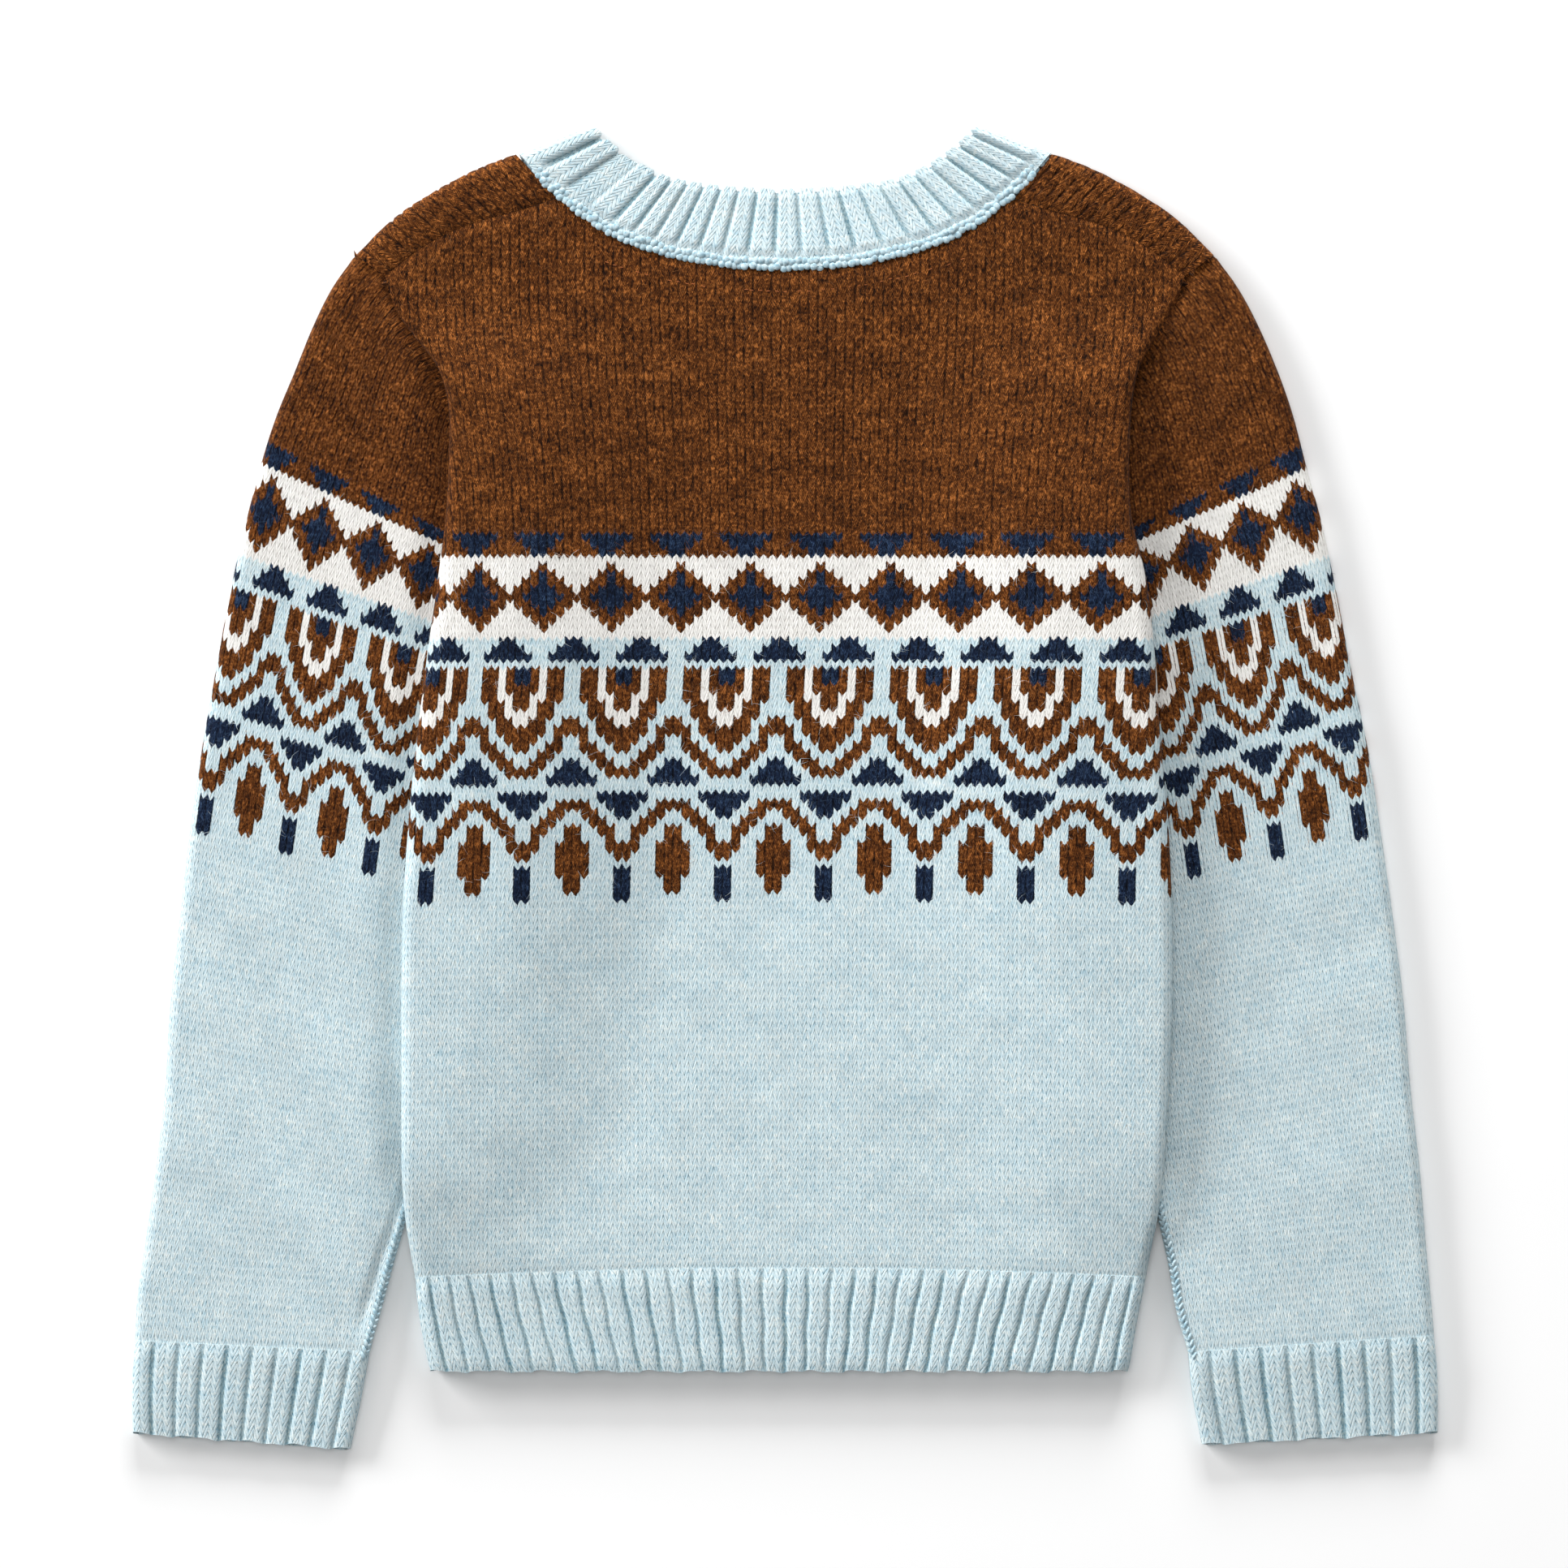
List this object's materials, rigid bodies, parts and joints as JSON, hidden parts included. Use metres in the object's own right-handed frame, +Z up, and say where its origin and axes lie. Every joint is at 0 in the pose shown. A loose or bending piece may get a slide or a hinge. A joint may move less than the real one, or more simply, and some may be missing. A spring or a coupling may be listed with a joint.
{
  "type": "fair isle jumper",
  "caption": "Child's long-sleeved knitted wool jumper with a patterned yoke, laid flat face down with its sleeves tucked along its sides.",
  "frame": {"origin": "on the surface that the jumper lies on, below the middle of its box", "axes": "+X to the right as the back is seen from above, +Y from the hem to the neck, +Z up from the surface, through the cloth from front to back"},
  "size_m": [0.5316, 0.5388, 0.0163],
  "materials": {
    "back_panel": "heathered wool, stocking stitch",
    "front_panel": "heathered wool, stocking stitch",
    "hem_rib_back": "heathered wool, ribbed",
    "hem_rib_front": "heathered wool, ribbed",
    "sleeve_left": "heathered wool, stocking stitch",
    "sleeve_right": "heathered wool, stocking stitch",
    "cuff_left": "heathered wool, ribbed",
    "cuff_right": "heathered wool, ribbed",
    "neckband": "heathered wool, ribbed"
  },
  "bodies": {
    "root": {"back_panel": "back_panel", "front_panel": "front_panel", "hem_rib_back": "hem_rib_back", "hem_rib_front": "hem_rib_front", "sleeve_left": "sleeve_left", "sleeve_right": "sleeve_right", "cuff_left": "cuff_left", "cuff_right": "cuff_right", "neckband": "neckband"}
  },
  "joints": []
}
